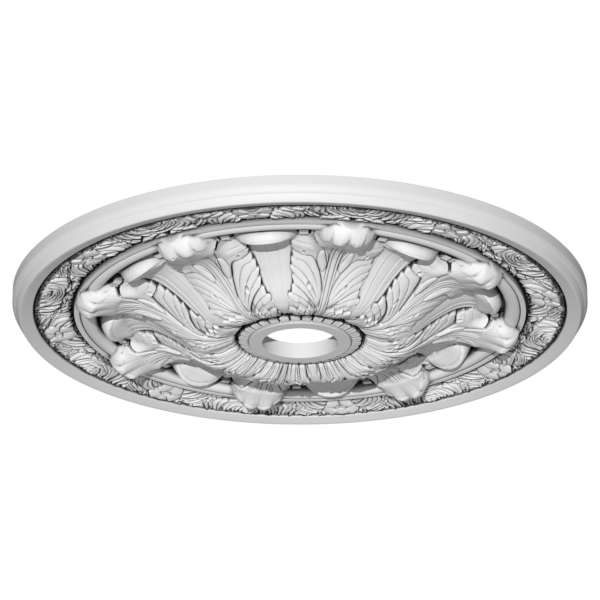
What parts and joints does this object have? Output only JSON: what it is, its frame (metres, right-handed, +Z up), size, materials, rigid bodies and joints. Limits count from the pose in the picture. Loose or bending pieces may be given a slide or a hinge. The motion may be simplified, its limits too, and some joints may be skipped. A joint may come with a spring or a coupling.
{
  "type": "ceiling rose",
  "caption": "Round cast ceiling rose with a wreath of acanthus leaves and flutes, a flower band, a moulded rim and an open hub for a light fitting.",
  "frame": {"origin": "centre of the back face, on the ceiling, in the middle of the hole", "axes": "+Z up into the ceiling along the axis of the hole, +X through the middle of a flute and of a flower of the band"},
  "size_m": [0.775, 0.775, 0.072],
  "materials": {
    "primed_foam": "factory-primed white moulded polyurethane, satin to matt, with a faint cast mottle"
  },
  "bodies": {
    "root": {"ceiling_rose": "primed_foam"}
  },
  "joints": []
}
